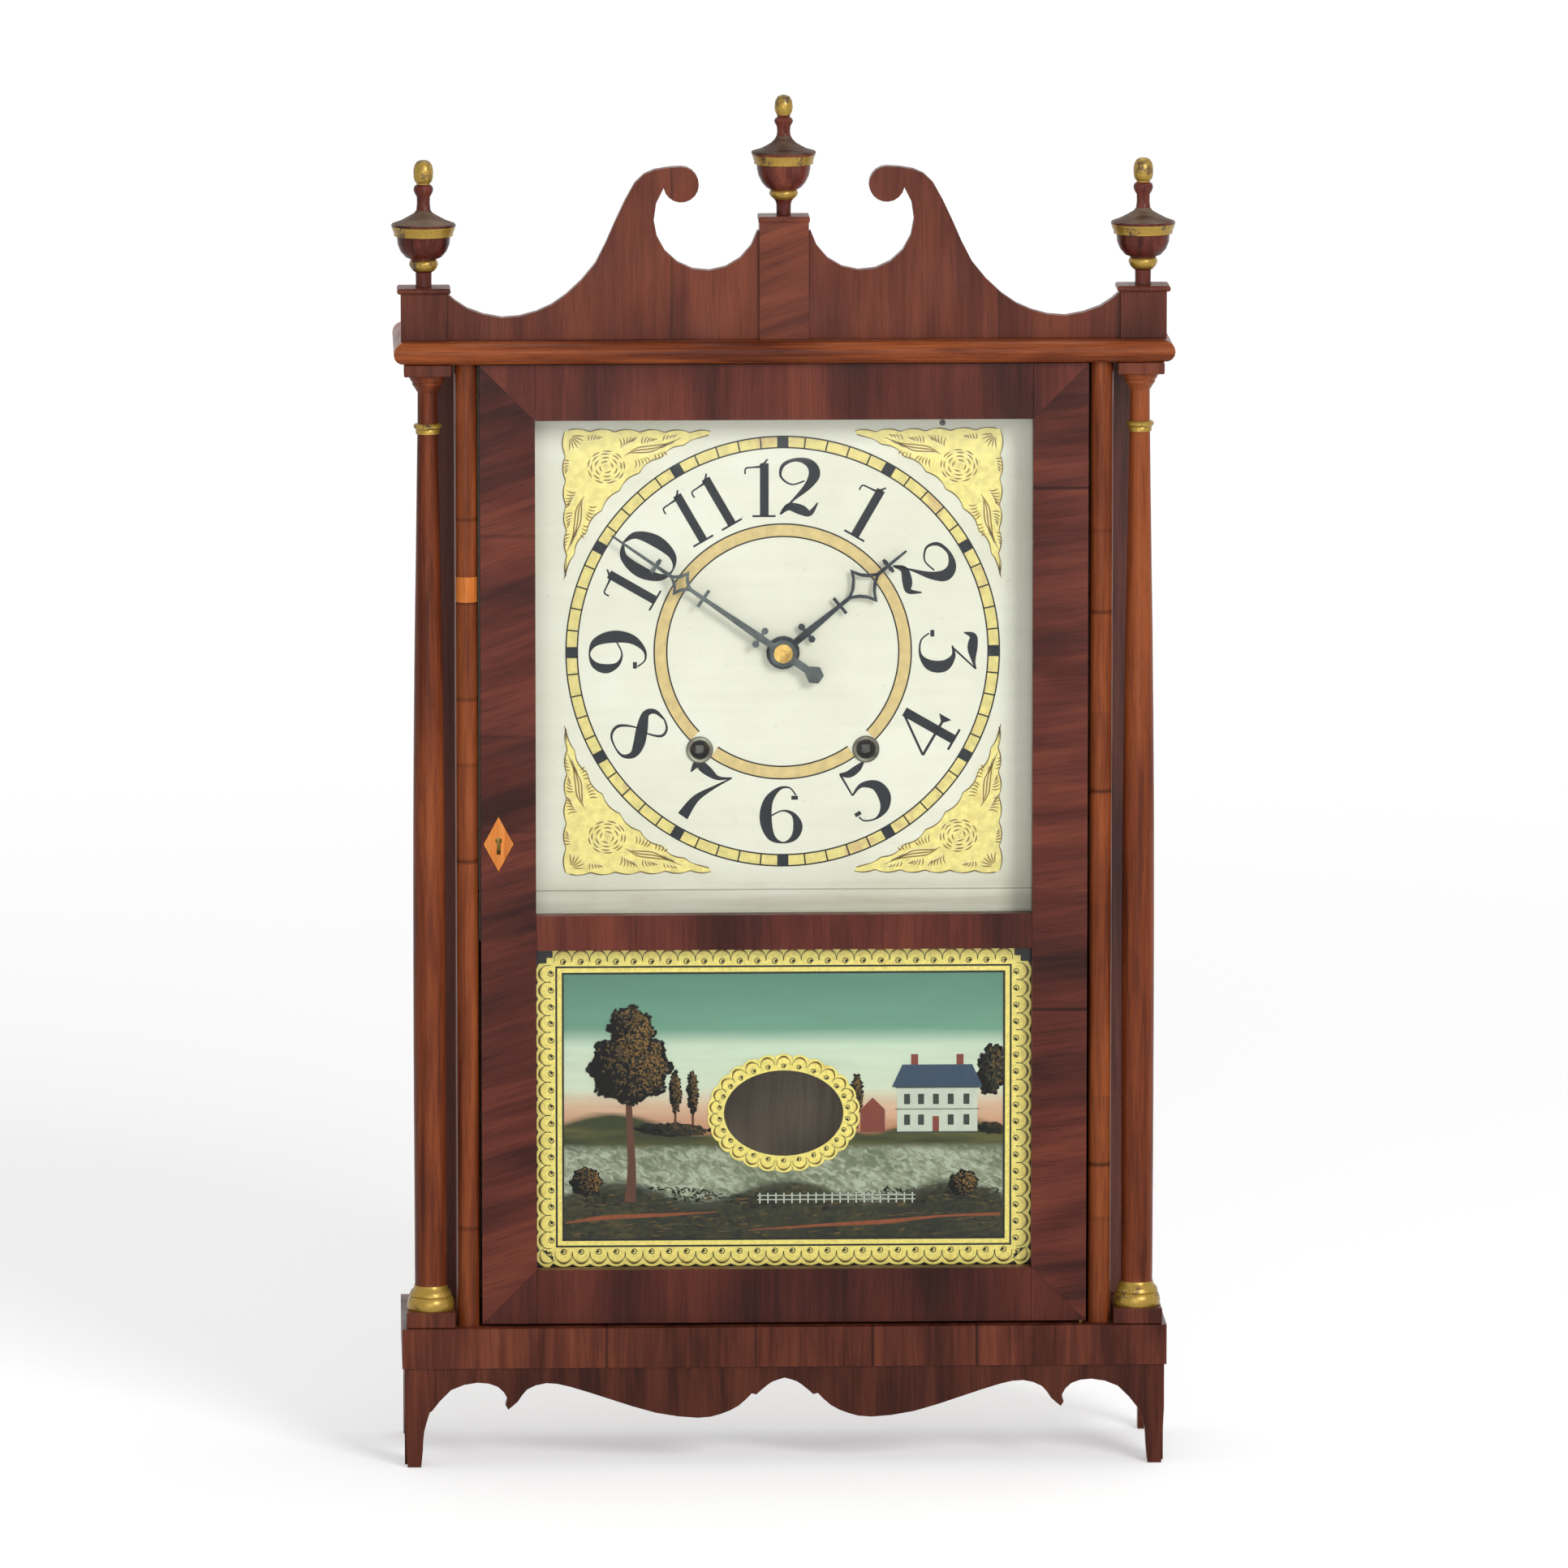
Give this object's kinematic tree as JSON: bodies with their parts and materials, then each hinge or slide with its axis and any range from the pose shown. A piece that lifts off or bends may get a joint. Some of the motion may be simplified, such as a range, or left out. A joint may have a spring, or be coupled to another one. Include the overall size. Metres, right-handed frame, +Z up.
{
  "type": "pillar and scroll shelf clock",
  "caption": "Weight-driven shelf clock with free columns, scrolled top, urn finials, bracket feet and a hinged glazed door over a painted dial and tablet.",
  "frame": {"origin": "middle of the clock in plan, at the bottom of its feet", "axes": "+X to the right seen from the front, +Y towards the back, +Z up; the door faces -Y"},
  "size_m": [0.445, 0.113, 0.7864],
  "materials": {
    "mahogany": "dark red-brown mahogany under a worn polish",
    "figured_mahogany": "figured mahogany veneer, polished",
    "turned_mahogany": "turned mahogany with gilt base and ring",
    "gilt_turning": "turned mahogany with worn gilding",
    "pine": "unfinished softwood, darkened by age",
    "painted_dial": "softwood board painted off-white with gilt ornament",
    "window_glass": "clear old window glass",
    "painted_glass": "glass painted on its back, opaque",
    "satinwood": "pale inlaid wood",
    "brass": "aged brass",
    "blued_steel": "dull dark steel, partly polished",
    "steel": "plain steel",
    "oak": "unfinished oak",
    "cherry": "cherry wood, cut and turned, unfinished",
    "cast_iron": "rough cast iron",
    "cord": "twisted flax cord"
  },
  "bodies": {
    "case": {"base_board": "mahogany", "cornice_board": "mahogany", "case_side_left": "mahogany", "case_side_right": "mahogany", "half_column_left": "mahogany", "half_column_right": "mahogany", "side_skirt_left": "mahogany", "side_skirt_right": "mahogany", "front_skirt": "figured_mahogany", "scroll_board": "figured_mahogany", "finial_plinth_left": "figured_mahogany", "finial_plinth_centre": "figured_mahogany", "finial_plinth_right": "figured_mahogany", "column_left": "turned_mahogany", "column_right": "turned_mahogany", "finial_left": "gilt_turning", "finial_centre": "gilt_turning", "finial_right": "gilt_turning", "back_board": "pine", "dial_board": "painted_dial", "movement_front_plate": "oak", "movement_back_plate": "oak", "bell": "cast_iron", "time_cord_run": "cord", "strike_cord_run": "cord"},
    "door": {"door_stile_left": "figured_mahogany", "door_stile_right": "figured_mahogany", "door_top_rail": "figured_mahogany", "door_mid_rail": "figured_mahogany", "door_bottom_rail": "figured_mahogany", "dial_glass": "window_glass", "tablet_glass": "painted_glass", "keyhole_escutcheon": "satinwood", "lock_case": "brass", "hinge_pin_lower": "brass", "hinge_pin_upper": "brass"},
    "bolt": {"lock_bolt": "brass"},
    "minute_hand_pipe": {"minute_hand": "blued_steel"},
    "minute_wheel_pinion": {"minute_wheel": "cherry"},
    "hour_hand_pipe": {"hour_wheel": "cherry", "hour_hand": "blued_steel"},
    "time_great": {"time_great_wheel": "cherry"},
    "second": {"second_arbor": "cherry"},
    "centre": {"centre_arbor": "brass"},
    "third": {"third_arbor": "cherry"},
    "escape": {"escape_arbor": "brass"},
    "verge_crutch": {"verge": "steel"},
    "pendulum_rod": {"pendulum": "brass"},
    "time_barrel": {"time_drum": "oak"},
    "time_sheave": {"time_pulley": "brass"},
    "time_load": {"time_weight": "cast_iron", "time_cord_drop": "cord"},
    "strike_barrel": {"strike_drum": "oak"},
    "strike_sheave": {"strike_pulley": "brass"},
    "strike_load": {"strike_weight": "cast_iron", "strike_cord_drop": "cord"},
    "strike_great": {"strike_great_wheel": "cherry"},
    "pin_wheel": {"pin_wheel_arbor": "cherry"},
    "fly": {"fly_arbor": "cherry"},
    "hammer_arm": {"hammer": "steel"}
  },
  "joints": [
    {"name": "door_hinge", "type": "hinge", "parent": "case", "child": "door", "pos_m": [0.17, -0.0435, 0.358], "axis": [0, 0, 1], "range_deg": [0, 120]},
    {"name": "bolt_slide", "type": "slide", "parent": "door", "child": "bolt", "axis": [-1, 0, 0], "range_m": [0, 0.0045]},
    {"name": "minute_turn", "type": "hinge", "parent": "case", "child": "minute_hand_pipe", "pos_m": [0, 0.0221, 0.466], "axis": [0, 1, 0], "continuous": true},
    {"name": "minute_wheel_turn", "type": "hinge", "parent": "case", "child": "minute_wheel_pinion", "pos_m": [-0.02706, 0.0221, 0.45615], "axis": [0, 1, 0], "continuous": true},
    {"name": "hour_turn", "type": "hinge", "parent": "case", "child": "hour_hand_pipe", "pos_m": [0, 0.0221, 0.466], "axis": [0, 1, 0], "continuous": true},
    {"name": "escape_spin", "type": "hinge", "parent": "case", "child": "escape", "pos_m": [0.01899, 0.0221, 0.49842], "axis": [0, 1, 0], "continuous": true},
    {"name": "third_spin", "type": "hinge", "parent": "case", "child": "third", "pos_m": [0.03508, 0.0221, 0.47544], "axis": [0, 1, 0], "continuous": true},
    {"name": "second_spin", "type": "hinge", "parent": "case", "child": "second", "pos_m": [0.02731, 0.0221, 0.44643], "axis": [0, 1, 0], "continuous": true},
    {"name": "centre_spin", "type": "hinge", "parent": "case", "child": "centre", "pos_m": [0, 0.0221, 0.466], "axis": [0, 1, 0], "continuous": true},
    {"name": "time_great_spin", "type": "hinge", "parent": "case", "child": "time_great", "pos_m": [0.0475, 0.0221, 0.4096], "axis": [0, 1, 0], "continuous": true},
    {"name": "pendulum_swing", "type": "hinge", "parent": "case", "child": "pendulum_rod", "pos_m": [0.01899, 0.0221, 0.53402], "axis": [0, 1, 0], "range_deg": [-3, 3]},
    {"name": "verge_rock", "type": "hinge", "parent": "case", "child": "verge_crutch", "pos_m": [0.01899, 0.0221, 0.52642], "axis": [0, 1, 0], "range_deg": [-4.5, 4.5]},
    {"name": "time_weight_lift", "type": "slide", "parent": "case", "child": "time_load", "axis": [0, 0, 1], "range_m": [0, 0.38], "deforming": ["time_cord_drop"]},
    {"name": "time_drum_turn", "type": "hinge", "parent": "case", "child": "time_barrel", "pos_m": [0.0475, 0.0221, 0.4096], "axis": [0, 1, 0], "range_deg": [0, 1800]},
    {"name": "time_pulley_turn", "type": "hinge", "parent": "case", "child": "time_sheave", "pos_m": [0.12, 0.0221, 0.64135], "axis": [0, 1, 0], "range_deg": [-2200, 0]},
    {"name": "strike_weight_lift", "type": "slide", "parent": "case", "child": "strike_load", "axis": [0, 0, 1], "range_m": [0, 0.38], "deforming": ["strike_cord_drop"]},
    {"name": "strike_drum_turn", "type": "hinge", "parent": "case", "child": "strike_barrel", "pos_m": [-0.0475, 0.0221, 0.4096], "axis": [0, 1, 0], "range_deg": [-1800, 0]},
    {"name": "strike_pulley_turn", "type": "hinge", "parent": "case", "child": "strike_sheave", "pos_m": [-0.12, 0.0221, 0.64135], "axis": [0, 1, 0], "range_deg": [0, 2200]},
    {"name": "fly_spin", "type": "hinge", "parent": "case", "child": "fly", "pos_m": [-0.03508, 0.0221, 0.47544], "axis": [0, 1, 0], "continuous": true},
    {"name": "pin_wheel_spin", "type": "hinge", "parent": "case", "child": "pin_wheel", "pos_m": [-0.02731, 0.0221, 0.44643], "axis": [0, 1, 0], "continuous": true},
    {"name": "strike_great_spin", "type": "hinge", "parent": "case", "child": "strike_great", "pos_m": [-0.0475, 0.0221, 0.4096], "axis": [0, 1, 0], "continuous": true},
    {"name": "hammer_rock", "type": "hinge", "parent": "case", "child": "hammer_arm", "pos_m": [-0.074, 0.0221, 0.452], "axis": [0, 1, 0], "range_deg": [0, 4]}
  ],
  "couplings": [
    {"joint": "minute_wheel_turn", "follows": "minute_turn", "ratio": -0.33333},
    {"joint": "hour_turn", "follows": "minute_turn", "ratio": 0.083333},
    {"joint": "third_spin", "follows": "escape_spin", "ratio": -0.15},
    {"joint": "second_spin", "follows": "escape_spin", "ratio": 0.025},
    {"joint": "centre_spin", "follows": "escape_spin", "ratio": -0.025},
    {"joint": "time_great_spin", "follows": "escape_spin", "ratio": -0.0041667},
    {"joint": "verge_rock", "follows": "pendulum_swing", "ratio": 1.21},
    {"joint": "time_drum_turn", "follows": "time_weight_lift", "rad_per_m": 82.305},
    {"joint": "time_pulley_turn", "follows": "time_weight_lift", "rad_per_m": -100.5},
    {"joint": "strike_drum_turn", "follows": "strike_weight_lift", "rad_per_m": -82.305},
    {"joint": "strike_pulley_turn", "follows": "strike_weight_lift", "rad_per_m": 100.5},
    {"joint": "fly_spin", "follows": "pin_wheel_spin", "ratio": -6},
    {"joint": "strike_great_spin", "follows": "pin_wheel_spin", "ratio": -0.16667}
  ]
}
